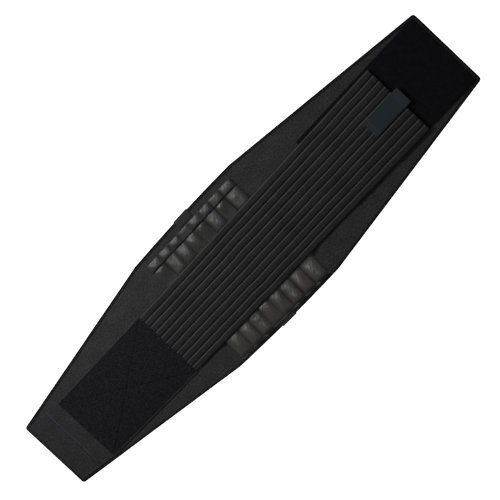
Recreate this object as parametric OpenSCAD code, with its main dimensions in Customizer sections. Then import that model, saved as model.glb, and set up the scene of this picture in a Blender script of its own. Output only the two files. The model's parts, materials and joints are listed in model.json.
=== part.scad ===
// Lumbar support belt, laid flat with its outer face up.
// X runs along the belt (the strap is sewn down at the -X end), Y runs up the back (the stays slide out
// towards +Y) and Z is up, away from the wearer. The origin is the middle of the underside.

/* [Belt outline] */
// Length of the belt laid flat
belt_length = 960; // [920:10:1000]
// Height of the belt at its middle
back_height = 241; // [240:1:256]
// Height of the belt where each wing starts to taper
shoulder_height = 237; // [234:1:240]
// Height of each end
end_height = 139; // [138:1:150]
// Distance from the middle to where the taper starts
shoulder_x = 118; // [112:1:122]

/* [Cloth layers] */
// Thickness of the lining that lies against the wearer
lining_t = 1.0; // [0.8:0.1:1.4]
// Thickness of the knitted outer cover
cover_t = 1.4; // [1.0:0.1:1.8]
// Thickness of the tape folded over the edge
binding_t = 0.8; // [0.5:0.1:0.8]
// Thickness of the binding's upper fold
upper_fold_t = 0.6; // [0.4:0.1:0.8]
// Width of the binding on each face
binding_w = 5; // [4:0.5:5]
// Width of the webbing over the middle of the back
spine_w = 31; // [25:1:35]
// How far the webbing stands out past the belt's edges
spine_proud = 1.5; // [1:0.1:3]

/* [Stay panel] */
// Width of the panel that holds the stays
panel_w = 210; // [204:1:212]
// Lower edge of the panel
panel_y0 = -113.5; // [-113.5:0.5:-108]
// Upper edge of the panel
panel_y1 = 104; // [100:1:104]
// Height of the cap strip over the pocket mouths
cap_h = 14; // [10:1:18]
// Number of channels, one stay in each
channels = 8; // [8]
// Width of the two outer channels
outer_channel_w = 29.5; // [27:0.5:31]
// Width of each row of stitching between channels
seam_w = 2; // [1.5:0.1:2.4]
// Depth of a channel over the cover
channel_depth = 2.6; // [2.4:0.1:2.6]
// Thickness of the panel's cloth
panel_t = 0.6; // [0.4:0.1:0.6]
// Width of a stay
stay_w = 18; // [14:1:18]
// Length of a stay
stay_length = 196; // [180:1:196]
// Thickness of a stay
stay_t = 1.0; // [0.8:0.1:1.1]

/* [Wing hinges] */
// Distance from the middle to the first fold of each wing
fold_1 = 126; // [124:1:130]
// Distance between folds on the right wing
right_pitch = 91; // [90:1:92]
// Distance between folds on the left wing, which closes outside the right one
left_pitch = 94; // [93:1:95]
// Gap in the cloth layers at each fold
fold_gap = 3; // [2:0.5:4]

/* [Fastenings] */
// Where the pile panel on the right end starts
pile_x0 = 218.5; // [218.5:0.5:240]
// Height of the pile panel
pile_h = 133; // [120:1:134]
// Thickness of the loop pile on the right end
pile_t = 1.6; // [1.2:0.1:1.6]
// Width of the hook panel behind the left end
hook_panel_w = 95; // [60:1:120]

/* [Strap] */
// Where the flap that the strap starts from is sewn to the belt's left end
flap_seam_x = -431; // [-440:1:-420]
// Height of the flap under the landing pad
flap_h = 133; // [128:1:134]
// Outer edge of the landing pad on the flap
pad_x0 = -399; // [-405:1:-380]
// Height of the landing pad
pad_h = 129.5; // [120:0.5:130]
// Centre of the landing pad, which sits a little low
pad_y = -8; // [-8:0.5:0]
// Thickness of the landing pad
pad_t = 1.2; // [0.8:0.1:1.2]
// Where the elastic starts, at the end of the flap
strap_x0 = -177; // [-185:1:-170]
// Where the strap starts to lift off the belt
peel_x = 70; // [60:1:80]
// Where the strap ends
strap_x1 = 375; // [360:1:380]
// Width of the ribbed elastic
strap_w = 130; // [110:1:131]
// Thickness of the elastic
elastic_t = 2.0; // [1.5:0.1:2]
// Centre of the strap at the middle of the back
strap_y = -6.5; // [-8:0.5:0]
// Rise of the strap for each unit of length
strap_slope = 0.0108; // [0:0.001:0.011]
// Gap in the elastic at each fold, which leaves room to fold the belt up
strap_gap = 6; // [6:0.5:8]
// Width of the hook patch under the strap's end
strap_hook_w = 58; // [40:1:60]
// Width of the pull tab
tab_w = 30; // [20:1:40]
// Where the pull tab ends, past the end of the strap
tab_x1 = 386; // [384:1:388]
// Thickness of the pull tab
tab_t = 0.8; // [0.6:0.1:1]

/* [Hidden] */
hand = ["left", "right"];

clear = 0.3;
half_length = belt_length / 2;
half_shoulder = shoulder_height / 2;
half_end = end_height / 2;
crown_rise = back_height / 2 - half_shoulder;
crown_r = (shoulder_x ^ 2 + crown_rise ^ 2) / (2 * crown_rise);
crown_steps = 12;

// Levels, from the underside up
lining_z = binding_t;
cover_z = lining_z + lining_t;
cover_top = cover_z + cover_t;
panel_z = cover_top + channel_depth;
panel_top = panel_z + panel_t;
stay_z = cover_top + 1.1;
pile_top = cover_top + pile_t;
over_panel_z = panel_top + clear;
over_cover_z = cover_top + 0.9;
over_pile_z = pile_top + clear;
hook_t = 1.0;
strap_end_z = over_pile_z + hook_t;
tab_z = strap_end_z + elastic_t + clear;

// Folds of each wing, inner to outer, and the stretch of belt that each segment covers
right_fold = [for (i = [0 : 2]) fold_1 + i * right_pitch];
left_fold = [for (i = [0 : 2]) -fold_1 - i * left_pitch];
g = fold_gap / 2;
function span(h, n) = h == "right"
    ? [right_fold[n - 1] + g, n == 3 ? half_length : right_fold[n] - g]
    : [n == 3 ? -half_length : left_fold[n] + g, left_fold[n - 1] - g];

// Half the belt's height at x: a shallow crown over the back, then a straight taper to each end
function half_height(x) = abs(x) <= shoulder_x
    ? half_shoulder - crown_r + crown_rise + sqrt(crown_r ^ 2 - x ^ 2)
    : half_shoulder - (abs(x) - shoulder_x) / (half_length - shoulder_x) * (half_shoulder - half_end);

// The x of each corner of the outline between two places
function corners(x0, x1) = concat(
    [x0],
    [for (i = [0 : crown_steps]) let (x = -shoulder_x + i * 2 * shoulder_x / crown_steps) if (x > x0 && x < x1) x],
    [x1]
);

function reversed(list) = [for (i = [len(list) - 1 : -1 : 0]) list[i]];

// A band of cloth that follows the outline between two places: from inset a to inset b along one edge
module edge_band(x0, x1, side, a, b, z0, z1) {
    xs = corners(x0, x1);
    translate([0, 0, z0])
        linear_extrude(z1 - z0)
            polygon(concat(
                [for (x = xs) [x, side * (half_height(x) - a)]],
                [for (x = reversed(xs)) [x, side * (half_height(x) - b)]]
            ));
}

// A layer of cloth over the belt's whole height, held back from its edge by an inset
module layer(x0, x1, inset, z0, z1) {
    xs = corners(x0, x1);
    translate([0, 0, z0])
        linear_extrude(z1 - z0)
            polygon(concat(
                [for (x = xs) [x, half_height(x) - inset]],
                [for (x = reversed(xs)) [x, inset - half_height(x)]]
            ));
}

module block(x0, x1, y0, y1, z0, z1) {
    translate([x0, y0, z0])
        cube([x1 - x0, y1 - y0, z1 - z0]);
}

// How far a layer inside the binding stops short of a segment's own end of the belt
function inner_span(h, n, inset) = n < 3 ? span(h, n)
    : h == "right" ? [span(h, 3)[0], half_length - inset] : [inset - half_length, span(h, 3)[1]];

module lining(s) {
    color("#2b2c2f") layer(s[0], s[1], binding_t, lining_z, cover_z);
}

module cover(s) {
    color("#2a2c2e") layer(s[0], s[1], binding_t, cover_z, cover_top);
}

// Folded tape along one edge: a wall, and a fold over each face
module edge_tape(x0, x1, side) {
    fold_top = cover_top + upper_fold_t;
    edge_band(x0, x1, side, 0, binding_t, 0, fold_top);
    edge_band(x0, x1, side, 0, binding_w, 0, binding_t);
    edge_band(x0, x1, side, 0, binding_w, cover_top, fold_top);
}

// The tape across one end of the belt, cut to fit between the tapes along the edges
module end_tape(x0, x1) {
    fold_top = cover_top + upper_fold_t;
    wall = x0 < 0 ? [x0, x0 + binding_t] : [x1 - binding_t, x1];
    y = half_end - binding_w - 0.2;
    block(wall[0], wall[1], -y, y, 0, fold_top);
    block(x0, x1, -y, y, 0, binding_t);
    block(x0, x1, -y, y, cover_top, fold_top);
}

module binding_back() {
    // the webbing takes the tape's place over the middle
    notch = spine_w / 2;
    ends = fold_1 - g;
    color("#131416") {
        for (side = [-1, 1]) {
            edge_tape(-ends, -notch, side);
            edge_tape(notch, ends, side);
        }
    }
}

module wing_binding(h, n) {
    s = span(h, n);
    color("#131416") {
        for (side = [-1, 1]) edge_tape(s[0], s[1], side);
        if (n == 3 && h == "left") end_tape(-half_length, -half_length + binding_w);
        if (n == 3 && h == "right") end_tape(half_length - binding_w, half_length);
    }
}

// Webbing down the wearer's spine, folded over both edges of the belt and sewn to the outer face
module spine_band() {
    flap_top = cover_top + 0.8;
    flap = 14.5;
    reach = back_height / 2 + spine_proud;
    color("#1d1e21") {
        block(-spine_w / 2, spine_w / 2, -reach, reach, 0, binding_t);
        for (side = [-1, 1]) {
            // the wall outside the edge, which the flap joins
            wall = side > 0 ? [back_height / 2, reach] : [-reach, -back_height / 2];
            tail = side > 0 ? [reach - flap, reach] : [-reach, -reach + flap / 2];
            block(-spine_w / 2, spine_w / 2, wall[0], wall[1], 0, flap_top);
            block(-spine_w / 2, spine_w / 2, tail[0], tail[1], cover_top, flap_top);
        }
    }
}

// Satin cloth over the channels
module stay_panel() {
    color("#4d5154") block(-panel_w / 2, panel_w / 2, panel_y0, panel_y1 - cap_h - 2, panel_z, panel_top);
}

// The centre of each seam between channels; the two outer channels are wider than the rest
inner_channel_w = (panel_w - 2 * outer_channel_w) / (channels - 2);
seam_x = concat(
    [-panel_w / 2 + seam_w / 2],
    [for (i = [1 : channels - 1]) -panel_w / 2 + outer_channel_w + (i - 1) * inner_channel_w],
    [panel_w / 2 - seam_w / 2]
);

// Rows of stitching that part the channels, and the hem that closes them at the bottom
module channel_seams() {
    hem_h = 3;
    color("#3c4043") {
        for (x = seam_x) block(x - seam_w / 2, x + seam_w / 2, panel_y0 + hem_h + 0.2, panel_y1, cover_top, panel_z);
        block(-panel_w / 2, panel_w / 2, panel_y0, panel_y0 + hem_h, cover_top, panel_z);
    }
}

// The strip over the pocket mouths, open above so that the stays can be drawn out
module cap_strip() {
    color("#5a5e61") block(-panel_w / 2, panel_w / 2, panel_y1 - cap_h, panel_y1, panel_z, panel_top);
}

// A flat spring-steel stay with round ends, in its channel
module stay(i) {
    r = stay_w / 2;
    x = (seam_x[i - 1] + seam_x[i]) / 2;
    y0 = panel_y0 + 5.5;
    color("#b9bcc0") {
        block(x - r, x + r, y0 + r, y0 + stay_length - r, stay_z, stay_z + stay_t);
        for (y = [y0 + r, y0 + stay_length - r])
            translate([x, y, stay_z]) cylinder(h = stay_t, r = r, $fn = 48);
    }
}

// The flap that the strap starts from: it widens from the landing pad to the belt's end
flap_z = cover_top + clear;
flap_t = 0.8;
end_y = half_end - binding_w - clear;
function flap_edge(x, side) = x >= pad_x0 ? pad_y + side * flap_h / 2
    : let (k = (pad_x0 - x) / (pad_x0 + half_length)) (1 - k) * (pad_y + side * flap_h / 2) + k * side * end_y;

module flap_layer(x0, x1, z0, z1) {
    xs = concat([x0], x0 < pad_x0 && x1 > pad_x0 ? [pad_x0] : [], [x1]);
    translate([0, 0, z0])
        linear_extrude(z1 - z0)
            polygon(concat(
                [for (x = xs) [x, flap_edge(x, 1)]],
                [for (x = reversed(xs)) [x, flap_edge(x, -1)]]
            ));
}

module strap_flap(n) {
    s = span("left", n);
    color("#2a2c2e") flap_layer(max(flap_seam_x + 1, s[0]), min(strap_x0, s[1]), flap_z, flap_z + flap_t);
}

// The flap's end, sewn flat to the belt
module flap_root() {
    color("#2a2c2e") flap_layer(binding_w + clear - half_length, flap_seam_x, cover_top, cover_top + flap_t);
}

// Loop pad sewn to the flap, with a cross of stitches
module landing_pad(n) {
    s = span("left", n);
    x0 = max(pad_x0, s[0]);
    x1 = min(strap_x0, s[1]);
    z0 = flap_z + flap_t;
    color("#17181a") block(x0, x1, pad_y - pad_h / 2, pad_y + pad_h / 2, z0, z0 + pad_t);
}

// Hooks behind the left end, which close the belt on the pile panel
module hook_panel() {
    x0 = binding_w + clear - half_length;
    color("#0f1011") layer(x0, x0 + hook_panel_w, binding_w + clear, 0, lining_z);
}

// Loop pile over the right end, on two segments of the wing
module pile_panel(n) {
    s = inner_span("right", n, binding_w + clear);
    x0 = max(pile_x0, s[0]);
    color("#0c0d0e")
        intersection() {
            layer(x0, s[1], binding_w + clear, cover_top, pile_top);
            block(x0, s[1], -pile_h / 2, pile_h / 2, cover_top, pile_top);
        }
}

// A length of the strap, which lies a little out of square with the belt
module strap_layer(x0, x1, w, z0, z1) {
    function line(x) = strap_y + strap_slope * x;
    translate([0, 0, z0])
        linear_extrude(z1 - z0)
            polygon([
                [x0, line(x0) - w / 2], [x1, line(x1) - w / 2],
                [x1, line(x1) + w / 2], [x0, line(x0) + w / 2]
            ]);
}

// Each length of elastic lies on what is under it: the cover, the stay panel, the pile or the hook patch
strap_cut = strap_gap / 2;
elastic_span = [
    [strap_x0 + clear, -fold_1 - strap_cut],
    [strap_cut - fold_1, peel_x - strap_cut],
    [peel_x + strap_cut, fold_1 - strap_cut],
    [fold_1 + strap_cut, right_fold[1] - strap_cut],
    [right_fold[1] + strap_cut, right_fold[2] - strap_cut],
    [right_fold[2] + strap_cut, strap_x1]
];
elastic_z = [over_cover_z, over_panel_z, over_panel_z, over_cover_z, over_pile_z, strap_end_z];

module elastic(n) {
    s = elastic_span[n - 1];
    z = elastic_z[n - 1];
    color("#232527") strap_layer(s[0], s[1], strap_w, z, z + elastic_t);
}

module strap_hook() {
    color("#0f1011") strap_layer(strap_x1 - strap_hook_w, strap_x1 - 1, strap_w - 4, over_pile_z, strap_end_z);
}

// The tab's sewn end, and the free tab that lifts from it
tab_fold_x = right_fold[2] + 8;
module tab_seam() {
    color("#2f4348") strap_layer(tab_fold_x - 4.5, tab_fold_x - 0.5, tab_w, strap_end_z + elastic_t, tab_z + tab_t);
}

module pull_tab() {
    color("#3a5157") strap_layer(tab_fold_x + 1.5, tab_x1, tab_w, tab_z, tab_z + tab_t);
}

lining([g - fold_1, fold_1 - g]);  // lining_back
cover([g - fold_1, fold_1 - g]);  // cover_back
binding_back();
spine_band();
stay_panel();
channel_seams();
cap_strip();
for (h = hand, n = [1 : 3])
    lining(inner_span(h, n, binding_t));
for (h = hand, n = [1 : 3])
    cover(inner_span(h, n, binding_t));
for (h = hand, n = [1 : 3])
    wing_binding(h, n);
for (n = [1 : 3])
    landing_pad(n);
for (n = [1 : 3])
    strap_flap(n);
flap_root();
hook_panel();
pile_panel(2);  // pile_panel_2
pile_panel(3);  // pile_panel_3
for (n = [1 : 6])
    elastic(n);
strap_hook();
tab_seam();
pull_tab();
for (n = [1 : channels])
    stay(n);
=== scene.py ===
import bpy
import json
import math
import numpy as np
from mathutils import Matrix, Vector

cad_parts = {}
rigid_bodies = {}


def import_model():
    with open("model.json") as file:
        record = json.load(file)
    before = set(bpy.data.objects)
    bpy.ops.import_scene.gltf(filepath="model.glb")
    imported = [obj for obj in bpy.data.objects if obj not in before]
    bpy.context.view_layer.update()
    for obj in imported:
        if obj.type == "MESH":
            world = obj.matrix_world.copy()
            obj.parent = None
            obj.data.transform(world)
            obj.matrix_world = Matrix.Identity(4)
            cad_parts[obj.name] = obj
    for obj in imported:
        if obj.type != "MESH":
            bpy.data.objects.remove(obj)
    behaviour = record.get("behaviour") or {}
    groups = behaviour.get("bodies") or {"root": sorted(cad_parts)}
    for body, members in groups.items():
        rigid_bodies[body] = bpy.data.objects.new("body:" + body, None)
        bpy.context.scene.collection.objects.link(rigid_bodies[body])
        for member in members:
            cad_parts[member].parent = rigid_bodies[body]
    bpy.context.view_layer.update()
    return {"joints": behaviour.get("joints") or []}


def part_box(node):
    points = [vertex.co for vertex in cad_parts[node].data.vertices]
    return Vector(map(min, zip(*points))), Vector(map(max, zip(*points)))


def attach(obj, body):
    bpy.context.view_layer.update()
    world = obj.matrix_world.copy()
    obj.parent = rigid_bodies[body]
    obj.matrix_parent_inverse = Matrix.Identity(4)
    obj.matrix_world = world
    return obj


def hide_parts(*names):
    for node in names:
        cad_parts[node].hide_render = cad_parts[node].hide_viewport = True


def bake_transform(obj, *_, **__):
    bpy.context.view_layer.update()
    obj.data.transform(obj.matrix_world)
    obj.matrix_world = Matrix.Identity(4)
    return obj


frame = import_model()
bpy.ops.object.select_all(action="DESELECT")

# The camera, above the pile end and turned so that the belt runs from corner to corner, and a
# pale lit floor, low enough for the wings to wrap down to it. The soft light comes from beyond the
# belt's upper edge, so that it rakes across the ribs and the padded channels.
bpy.ops.object.camera_add(location=(0.646, 0.059, 1.778))
camera = bpy.context.object
camera.data.lens = 85
camera_aim = Vector((0.0384, 0.0022, 0.0))
camera_up = Vector((0.6829, 0.6845, -0.2553))
camera_back = (camera.location - camera_aim).normalized()
camera_right = camera_up.cross(camera_back).normalized()
camera_axes = (camera_right, camera_back.cross(camera_right), camera_back)
camera.rotation_euler = Matrix(camera_axes).transposed().to_euler()
bpy.context.scene.camera = camera
bpy.context.scene.view_settings.view_transform = "Standard"

floor_depth = 0.36
bpy.ops.mesh.primitive_plane_add(size=14, location=(0, 0, -floor_depth))
floor = bpy.context.object
floor.name = "floor"
floor_finish = bpy.data.materials.new("pale_floor")
floor_finish.use_nodes = True
floor_shader = floor_finish.node_tree.nodes["Principled BSDF"]
floor_shader.inputs["Base Color"].default_value = (0.9, 0.9, 0.9, 1)
floor_shader.inputs["Roughness"].default_value = 0.9
floor_shader.inputs["Emission Strength"].default_value = 0.85
floor.data.materials.append(floor_finish)
floor.visible_diffuse = False
floor.visible_glossy = False

world = bpy.data.worlds.new("studio")
bpy.context.scene.world = world
world.use_nodes = True
sky = world.node_tree.nodes["Background"]
sky.inputs["Color"].default_value = (1.0, 1.0, 1.0, 1)
sky.inputs["Strength"].default_value = 0.25


def soft_light(name, place, aim, size, power):
    bpy.ops.object.light_add(type="AREA", location=place)
    light = bpy.context.object
    light.name = name
    light.data.shape = "DISK"
    light.data.size = size
    light.data.energy = power
    light.rotation_euler = (Vector(place) - Vector(aim)).to_track_quat("Z", "Y").to_euler()


soft_light("key_light", (-0.3, 0.86, 0.60), (0, 0, 0), 0.35, 14.5)
soft_light("fill_light", (1.4, -1.2, 1.8), (0, 0, 0), 1.6, 4)

# Lining: the soft brushed knit that lies against the wearer, one piece of cloth cut to the belt's
# whole outline. Long cloths are drawn in six lengths that meet edge to edge, each length over just
# one fold of the wings.
mm = 0.001
wraps = sorted((j for j in frame["joints"] if "wrap" in j["name"]), key=lambda j: j["pos_m"][0])
fold_x = [j["pos_m"][0] for j in wraps]
half_length = -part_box("binding_left_3")[0].x
cuts = [-half_length] + [(a + b) / 2 for a, b in zip(fold_x, fold_x[1:])] + [half_length]
lengths = list(zip(cuts, cuts[1:], wraps))

shoulder_x = 118 * mm
tape_in = 0.85 * mm
corner_r = 5.5 * mm
half_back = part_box("cover_back")[1].y + 0.8 * mm
wing_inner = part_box("binding_right_1")
wing_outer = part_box("binding_right_3")
taper = (wing_inner[1].y - wing_outer[1].y) / (wing_outer[0].x - wing_inner[0].x)
half_shoulder = wing_inner[1].y + taper * (wing_inner[0].x - shoulder_x)
half_end = half_shoulder - taper * (half_length - shoulder_x)
crown_rise = half_back - half_shoulder
crown_r = (shoulder_x**2 + crown_rise**2) / (2 * crown_rise)


def half_height(x):
    """Half the belt's height: a shallow crown over the back, then a straight taper to each end"""
    far = np.abs(x)
    crown = half_back - crown_r + np.sqrt(crown_r**2 - np.minimum(far, shoulder_x) ** 2)
    return np.where(far <= shoulder_x, crown, half_shoulder - taper * (far - shoulder_x))


def cloth_edge(x, inset):
    """Half the height of a cloth cut back from the outline, with the belt's rounded corners"""
    radius = corner_r - inset
    beyond = np.clip(np.abs(x) - (half_length - inset - radius), 0, radius)
    return half_height(x) - inset - radius + np.sqrt(radius**2 - beyond**2)


def rumple(seed, wavelength):
    """The unevenness of cloth that lies free: seeded waves in all directions, mostly from -1 to 1"""
    draw = np.random.default_rng(seed)
    waves = 14
    turn = draw.uniform(0, 2 * math.pi, waves)
    phase = draw.uniform(0, 2 * math.pi, waves)
    pace = draw.uniform(0.7, 1.5, waves) * 2 * math.pi / wavelength

    def height(x, y):
        along = np.multiply.outer(np.asarray(x, float), np.cos(turn) * pace)
        aside = np.multiply.outer(np.asarray(y, float), np.sin(turn) * pace)
        return np.sin(along + aside + phase).sum(-1) / 4

    return height


broad_wave = rumple(1, 160 * mm)


def lie(x, y):
    """How far the belt stands off the table, the same all the way up it, so that the stays can slide"""
    return 0.25 * mm * (1 + broad_wave(x, 0 * (x + y)))


def round_off(distance, radius):
    """Share of a cloth's thickness that is left this far from its rounded edge"""
    return np.sqrt(1 - (1 - np.clip(distance / radius, 0, 1)) ** 2)


def tube(name, places, threads):
    """A closed piece: a grid rolled round its last column, row by row at these places, ends filled.
    threads gives each point's place on the cloth, in metres, which the weaves follow."""
    rows, around = places.shape[:2]
    bpy.ops.object.select_all(action="DESELECT")
    bpy.ops.mesh.primitive_grid_add(x_subdivisions=around - 1, y_subdivisions=rows - 1, size=1)
    piece = bpy.context.object
    piece.name = name
    mesh = piece.data
    grid = np.empty(len(mesh.vertices) * 3)
    mesh.vertices.foreach_get("co", grid)
    grid = grid.reshape(-1, 3) + 0.5
    column = np.rint(grid[:, 0] * (around - 1)).astype(int)
    row = np.rint(grid[:, 1] * (rows - 1)).astype(int)
    mesh.vertices.foreach_set("co", places[row, column].ravel())
    corner = np.empty(len(mesh.loops), int)
    mesh.loops.foreach_get("vertex_index", corner)
    mesh.uv_layers.active.name = "cloth"
    mesh.uv_layers.active.data.foreach_set("uv", threads[row[corner], column[corner]].ravel())
    bpy.ops.object.mode_set(mode="EDIT")
    bpy.ops.mesh.select_all(action="SELECT")
    bpy.ops.mesh.remove_doubles(threshold=0.004 * mm)
    bpy.ops.mesh.fill_holes(sides=0)
    bpy.ops.mesh.select_all(action="SELECT")
    bpy.ops.mesh.normals_make_consistent(inside=False)
    bpy.ops.object.mode_set(mode="OBJECT")
    bpy.ops.object.shade_smooth_by_angle(angle=math.radians(50))
    return piece


def cloth(
    name, x0, x1, step, low, high, under, over, across, edge=0.5 * mm, free=(False, False), shift=None
):
    """A cloth lying flat from x0 to x1. low and high give its two long edges at x, under and over its
    two faces at x, y. free says which of its ends is a real edge and not a cut between lengths, and
    shift how far its threads run off a straight line."""
    near = edge * np.array([0, 0.06, 0.25, 0.6, 1])
    xs = np.linspace(x0, x1, max(3, int(round((x1 - x0) / step)) + 1))
    if free[0]:
        xs = np.concatenate([x0 + near, xs[xs > x0 + 1.5 * edge]])
    if free[1]:
        xs = np.concatenate([xs[xs < x1 - 1.5 * edge], x1 - near[::-1]])
    lows = np.array([float(low(x)) for x in xs])
    highs = np.array([float(high(x)) for x in xs])
    inside = max(2, int(round((highs - lows).max() / across)))
    share = np.linspace(0, 1, inside + 1)[1:-1]
    inner = (lows + edge)[:, None] + share * (highs - lows - 2 * edge)[:, None]
    y = np.hstack([lows[:, None] + near, inner, highs[:, None] - near[::-1]])
    x = np.repeat(xs[:, None], y.shape[1], 1)
    full = round_off(np.minimum(y - lows[:, None], highs[:, None] - y), edge)
    if free[0]:
        full = full * round_off(x - x0, edge)
    if free[1]:
        full = full * round_off(x1 - x, edge)
    top, bottom = over(x, y), under(x, y)
    middle, half = (top + bottom) / 2, (top - bottom) / 2 * full
    upper = np.stack([x, y, middle + half], -1)
    lower = np.stack([x, y, middle - half], -1)[:, -2:0:-1]
    places = np.concatenate([upper, lower, upper[:, :1]], 1)
    threads = places[..., :2].copy()
    if shift:
        threads[..., 1] -= shift(threads[..., 0], threads[..., 1])
    return tube(name, places, threads)


def bend_at(piece, joint):
    """Bakes a piece's place into its mesh; the reach about its fold, short at the tab's fold, is worked out but
    the piece does not bend
    """
    x = joint["pos_m"][0]
    reach = (8 if x > fold_x[-1] - mm else 20) * mm * (1 if x > 0 else -1)
    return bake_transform(piece, joint["parent"], joint["child"], start=(x - reach, 0, 0), end=(x + reach, 0, 0))


class Yarn:
    """A value in a finish. Sums on it add Math nodes, so a weave reads as arithmetic."""

    def __init__(self, tree, socket=None):
        self.tree = tree
        self.socket = socket

    def node(self, kind, settings={}, inputs={}, out=0):
        made = self.tree.nodes.new("ShaderNode" + kind)
        for name, value in settings.items():
            setattr(made, name, value)
        for name, value in inputs.items():
            if isinstance(value, Yarn):
                self.tree.links.new(value.socket, made.inputs[name])
            else:
                made.inputs[name].default_value = value
        return Yarn(self.tree, made.outputs[out])

    def output(self, name):
        return Yarn(self.tree, self.socket.node.outputs[name])

    def math(self, operation, *others):
        return self.node("Math", {"operation": operation}, dict(enumerate((self, *others))))

    def __add__(self, other):
        return self.math("ADD", other)

    def __sub__(self, other):
        return self.math("SUBTRACT", other)

    def __rsub__(self, other):
        return self * -1 + other

    def __mul__(self, other):
        return self.math("MULTIPLY", other)

    def __truediv__(self, other):
        return self.math("DIVIDE", other)

    __radd__ = __add__
    __rmul__ = __mul__

    def wave(self, period):
        """From -1 to 1, once in each period"""
        return (self * (2 * math.pi / period)).math("SINE")

    def ridge(self, centre, width):
        """1 at the centre, falling to 0 half a width to each side"""
        return 1 - ((self - centre).math("ABSOLUTE") / (width / 2)).math("MINIMUM", 1)

    def speckle(self, size, detail=2):
        """Noise over the cloth, from 0 to 1, with spots about this size"""
        inputs = {"Vector": self, "Scale": 1 / size, "Detail": detail}
        return self.node("TexNoise", {"noise_dimensions": "2D"}, inputs)

    def between(self, dark, light):
        """A colour from dark, where this is 0, to light, where it is 1"""
        return self.node("Mix", {"data_type": "RGBA"}, {0: self, 6: dark, 7: light}, out=2)


def fabric(name, dark, light, rough, lift, pattern, sheen=0.04, gloss=0.15, other=None):
    """A cloth finish. pattern(threads, u, v) gives how light and how high the threads are, from 0 to 1,
    and may give a third value, how far the cloth turns to its other colour."""
    finish = bpy.data.materials.new(name)
    finish.use_nodes = True
    links = finish.node_tree.links
    shader = finish.node_tree.nodes["Principled BSDF"]
    shader.inputs["Sheen Weight"].default_value = sheen
    shader.inputs["Sheen Roughness"].default_value = 0.5
    shader.inputs["Specular IOR Level"].default_value = gloss
    threads = Yarn(finish.node_tree).node("UVMap", {"uv_map": "cloth"})
    u = threads.node("SeparateXYZ", {}, {"Vector": threads})
    shade, height, *turned = pattern(threads, u, u.output("Y"))
    colour = shade.between((*dark, 1), (*light, 1))
    for share in turned:
        colour = share.between(colour, (*other, 1))
    relief = height.node("Bump", {}, {"Distance": lift, "Height": height})
    links.new(colour.socket, shader.inputs["Base Color"])
    links.new((rough + (0.5 - shade) * 0.12).socket, shader.inputs["Roughness"])
    links.new(relief.socket, shader.inputs["Normal"])
    return finish


def brushed_weave(threads, u, v):
    nap = threads.speckle(0.9 * mm, 3)
    cells = (u + v * 0.5).wave(2.6 * mm) * (u - v * 0.5).wave(2.6 * mm)
    return 0.35 + cells * 0.15 + (nap - 0.5) * 0.9, 0.5 + cells * 0.3 + (nap - 0.5) * 0.7


def belt_nodes(kind):
    """The CAD nodes that each of the six lengths stands for"""
    nodes = [[f"{kind}_left_{n}"] for n in (3, 2, 1)] + [[f"{kind}_right_{n}"] for n in (1, 2, 3)]
    nodes[3].append(f"{kind}_back")
    return nodes


def dress(piece, finish, nodes=()):
    """Gives a piece its finish, and hides the CAD nodes that it stands for"""
    piece.data.materials.append(finish)
    if nodes:
        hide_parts(*nodes)
    return piece


def cut_area(x0, x1, edge):
    """Flat area of a cloth that is edge(x) high on each side of the middle line"""
    return 2 * float(np.mean(edge(np.linspace(x0, x1, 60)))) * (x1 - x0)


def full_edge(x):
    """The edge of a cloth that the tape folds over"""
    return cloth_edge(x, tape_in)


def full_cloth(kind, n, finish, step, under, over):
    """One length of a cloth that is cut to the belt's outline, with its flat length, height and area"""
    x0, x1, joint = lengths[n]
    ends = (n == 0, n == len(lengths) - 1)
    a = x0 + tape_in * ends[0]
    b = x1 - tape_in * ends[1]
    piece = cloth(
        f"{kind}_{n + 1}", a, b, step, lambda x: -full_edge(x), full_edge, under, over, step, free=ends)
    dress(piece, finish, belt_nodes(kind)[n])
    bend_at(piece, joint)
    tall = 2 * float(full_edge(a if abs(a) < abs(b) else b))
    size = cut_area(a, b, full_edge)
    return piece, (b - a, max(tall, size / (b - a))), size


lining_z, lining_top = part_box("lining_back")[0].z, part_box("lining_back")[1].z
lining_finish = fabric(
    "lining_knit", (0.010, 0.010, 0.011), (0.034, 0.035, 0.038), 0.9, 0.35 * mm, brushed_weave)
for n in range(len(lengths)):
    lining, flat, size = full_cloth(
        "lining", n, lining_finish, 4 * mm,
        lambda x, y: lining_z + lie(x, y), lambda x, y: lining_top + lie(x, y),
    )

# Cover: the outer face, a fine black knit of the same cut, laid on the lining and held to it by
# the tape round the edge, which draws it into small puckers.
cover_z, cover_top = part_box("cover_back")[0].z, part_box("cover_back")[1].z
cover_wave = rumple(2, 38 * mm)


def bell(distance, width):
    """1 at no distance, falling away on both sides like a bell: the shape of a dent or a ridge"""
    return np.exp(-((distance / width) ** 2))


def cover_face(x, y):
    room = half_height(x) - np.abs(y)
    pucker = np.sin(x * 2 * math.pi / (8.5 * mm)) * bell(room - 5 * mm, 7 * mm)
    return cover_top + lie(x, y) + 0.06 * mm * cover_wave(x, y) + 0.07 * mm * pucker


def fine_knit(threads, u, v):
    wale = u.wave(1.1 * mm)
    course = (v + wale * (0.2 * mm)).wave(0.9 * mm)
    grain = threads.speckle(0.8 * mm, 3)
    fleck = threads.speckle(2.8 * mm, 4)
    patch = threads.speckle(26 * mm, 3)
    shade = 0.40 + wale * 0.06 + course * 0.08 + (grain - 0.5) * 0.9
    shade = shade + (fleck - 0.5) * 1.5 + (patch - 0.5) * 0.45
    return shade, 0.5 + wale * 0.2 + course * 0.25 + (grain - 0.5) * 0.5


cover_finish = fabric(
    "cover_knit", (0.007, 0.007, 0.0072), (0.034, 0.0335, 0.034), 0.78, 0.25 * mm, fine_knit)
for n in range(len(lengths)):
    cover, flat, size = full_cloth(
        "cover", n, cover_finish, 2.4 * mm, lambda x, y: cover_z + lie(x, y) + 0.01 * mm, cover_face)
    f"lining_{n + 1}"

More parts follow.
